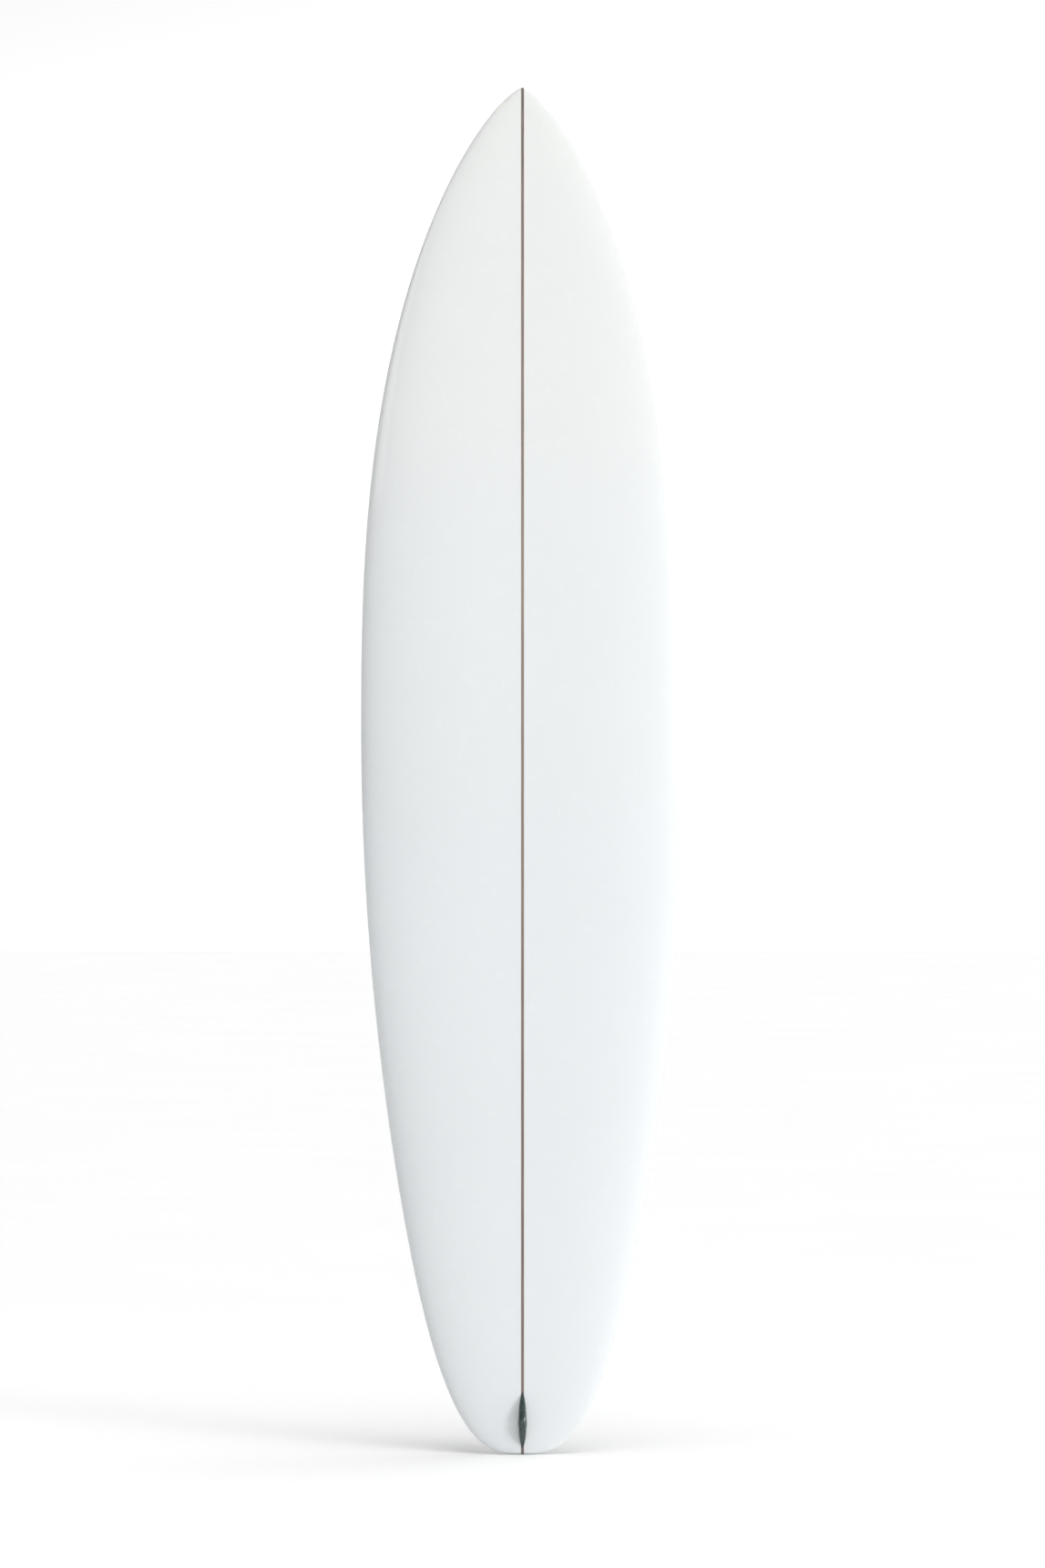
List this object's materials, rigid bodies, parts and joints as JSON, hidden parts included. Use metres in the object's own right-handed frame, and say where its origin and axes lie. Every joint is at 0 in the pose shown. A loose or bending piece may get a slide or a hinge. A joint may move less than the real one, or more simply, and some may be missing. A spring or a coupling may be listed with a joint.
{
  "type": "surfboard",
  "caption": "Surfboard with a pointed nose and a rounded tail: foam core, wooden stringer, glass skins, deck leash loop and a single fin in a slotted box.",
  "frame": {"origin": "the tail end on the stringer line, halfway through the tail edge's thickness, with the board standing on its tail", "axes": "+Z along the board to the nose, +X across it to the right as its deck is faced, -Y out of the deck, +Y out of the bottom"},
  "size_m": [0.5802, 0.3157, 2.437],
  "materials": {
    "foam": "closed-cell polyurethane foam",
    "stringer_wood": "planed softwood under clear resin",
    "stringer_glue": "cured glue",
    "laminate": "white glass cloth in resin",
    "gloss_resin": "sanded and polished white resin",
    "loop_glass": "dark tinted glass rope in resin",
    "box_plastic": "moulded polycarbonate",
    "potting_resin": "filled resin, sanded flush",
    "fin_glass": "dark tinted glass cloth panel, polished",
    "steel": "stainless steel",
    "brass": "turned brass"
  },
  "bodies": {
    "board": {"foam_core_left": "foam", "foam_core_right": "foam", "stringer": "stringer_wood", "glue_line_left": "stringer_glue", "glue_line_right": "stringer_glue", "deck_glass": "laminate", "bottom_glass": "laminate", "deck_gloss_coat": "gloss_resin", "bottom_gloss_coat": "gloss_resin", "leash_loop": "loop_glass", "fin_box": "box_plastic", "fin_box_resin": "potting_resin"},
    "fin": {"fin": "fin_glass", "fin_pin": "brass"},
    "screw": {"fin_screw": "steel"},
    "plate": {"fin_plate": "steel"}
  },
  "joints": [
    {"name": "fin_slide", "type": "slide", "parent": "board", "child": "fin", "axis": [0, 0.09, 0.9959], "range_m": [-0.03, 0.03]},
    {"name": "screw_turn", "type": "hinge", "parent": "fin", "child": "screw", "pos_m": [0, 0.04696, 0.37021], "axis": [0, 0.9959, -0.09], "range_deg": [0, 720]},
    {"name": "plate_lift", "type": "slide", "parent": "fin", "child": "plate", "axis": [0, 0.9959, -0.09], "range_m": [-0.00159, 0]}
  ],
  "couplings": [
    {"joint": "screw_turn", "follows": "plate_lift", "rad_per_m": -7913.3}
  ]
}
